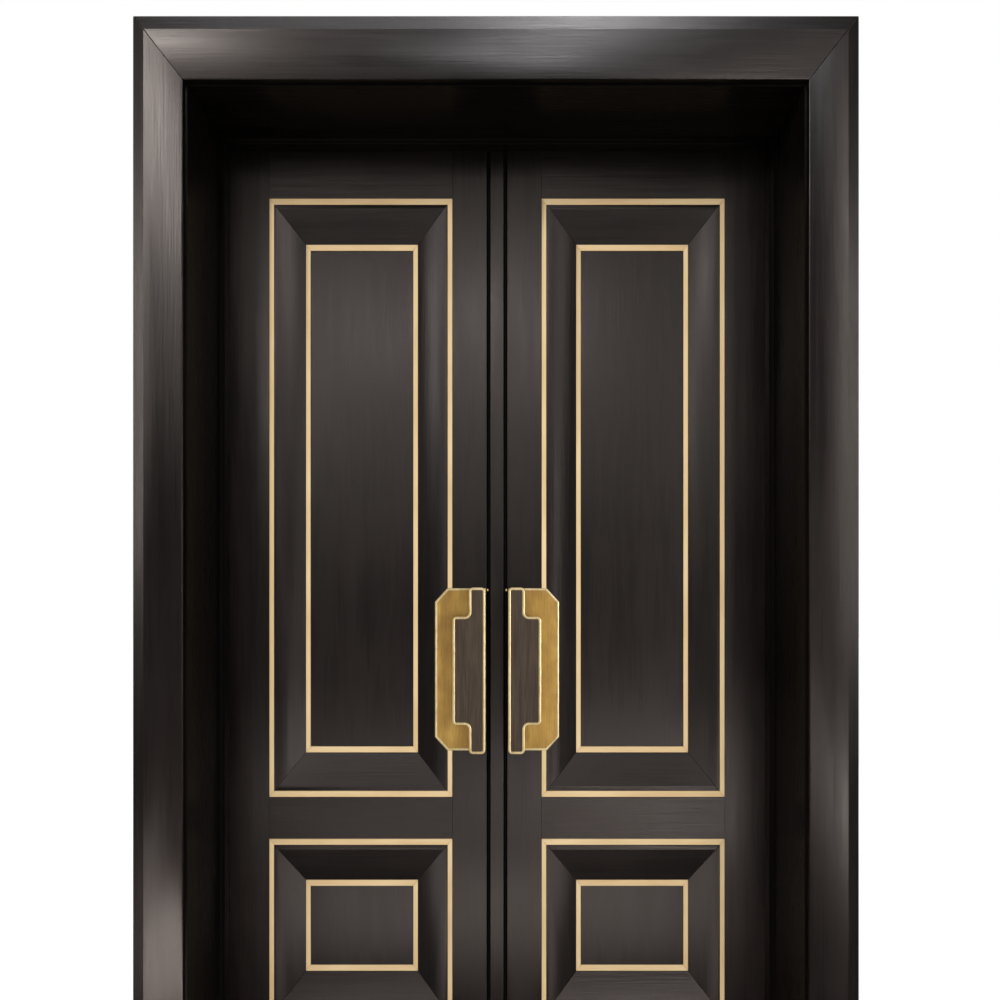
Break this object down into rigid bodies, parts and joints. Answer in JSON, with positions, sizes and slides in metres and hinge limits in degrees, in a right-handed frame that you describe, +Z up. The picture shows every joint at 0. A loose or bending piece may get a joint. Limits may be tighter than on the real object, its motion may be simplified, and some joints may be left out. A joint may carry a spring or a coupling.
{
  "type": "panelled double doors",
  "caption": "Solid panelled double doors with metal line trim and raised pulls, hung on butt hinges in a deep lined opening with mitred casings on both sides.",
  "frame": {"origin": "on the floor, in the middle of the whole width and of the whole depth", "axes": "+X across the opening to the viewer's right, +Y away from the viewer, the way the leaves open, +Z up"},
  "size_m": [1.652, 0.4302, 2.563],
  "materials": {
    "dark_paint": "charcoal brown satin paint on timber",
    "gold_strip": "pale gold satin metal",
    "brushed_brass": "brushed aged brass",
    "brown_inlay": "grey-brown grained inlay",
    "hinge_metal": "bronzed steel",
    "seal": "matt black"
  },
  "bodies": {
    "frame": {"casing_left": "dark_paint", "casing_right": "dark_paint", "casing_head": "dark_paint", "jamb_left": "dark_paint", "jamb_right": "dark_paint", "jamb_head": "dark_paint", "back_casing_left": "dark_paint", "back_casing_right": "dark_paint", "back_casing_head": "dark_paint", "door_seal": "seal", "left_hinge_top_frame": "hinge_metal", "left_hinge_middle_frame": "hinge_metal", "left_hinge_bottom_frame": "hinge_metal", "right_hinge_top_frame": "hinge_metal", "right_hinge_middle_frame": "hinge_metal", "right_hinge_bottom_frame": "hinge_metal"},
    "left_leaf": {"left_hinge_stile": "dark_paint", "left_meeting_stile": "dark_paint", "left_top_rail": "dark_paint", "left_lock_rail": "dark_paint", "left_bottom_rail": "dark_paint", "left_upper_panel": "dark_paint", "left_lower_panel": "dark_paint", "left_upper_moulding": "dark_paint", "left_lower_moulding": "dark_paint", "left_upper_outer_strip": "gold_strip", "left_upper_inner_strip": "gold_strip", "left_lower_outer_strip": "gold_strip", "left_lower_inner_strip": "gold_strip", "left_hinge_top_leaf": "hinge_metal", "left_hinge_middle_leaf": "hinge_metal", "left_hinge_bottom_leaf": "hinge_metal", "left_pull_plate": "brushed_brass", "left_pull_grip": "brushed_brass", "left_pull_inlay": "brown_inlay", "left_back_pull": "brushed_brass", "left_stud": "brushed_brass", "meeting_seal": "seal"},
    "right_leaf": {"right_hinge_stile": "dark_paint", "right_meeting_stile": "dark_paint", "right_top_rail": "dark_paint", "right_lock_rail": "dark_paint", "right_bottom_rail": "dark_paint", "right_upper_panel": "dark_paint", "right_lower_panel": "dark_paint", "right_upper_moulding": "dark_paint", "right_lower_moulding": "dark_paint", "right_upper_outer_strip": "gold_strip", "right_upper_inner_strip": "gold_strip", "right_lower_outer_strip": "gold_strip", "right_lower_inner_strip": "gold_strip", "right_hinge_top_leaf": "hinge_metal", "right_hinge_middle_leaf": "hinge_metal", "right_hinge_bottom_leaf": "hinge_metal", "right_pull_plate": "brushed_brass", "right_pull_grip": "brushed_brass", "right_pull_inlay": "brown_inlay", "right_back_pull": "brushed_brass", "right_stud": "brushed_brass", "cover_strip": "dark_paint"}
  },
  "joints": [
    {"name": "left_leaf_swing", "type": "hinge", "parent": "frame", "child": "left_leaf", "pos_m": [-0.7045, 0.16215, 0], "axis": [0, 0, 1], "range_deg": [0, 110]},
    {"name": "right_leaf_swing", "type": "hinge", "parent": "frame", "child": "right_leaf", "pos_m": [0.7045, 0.16215, 0], "axis": [0, 0, -1], "range_deg": [0, 110]}
  ]
}
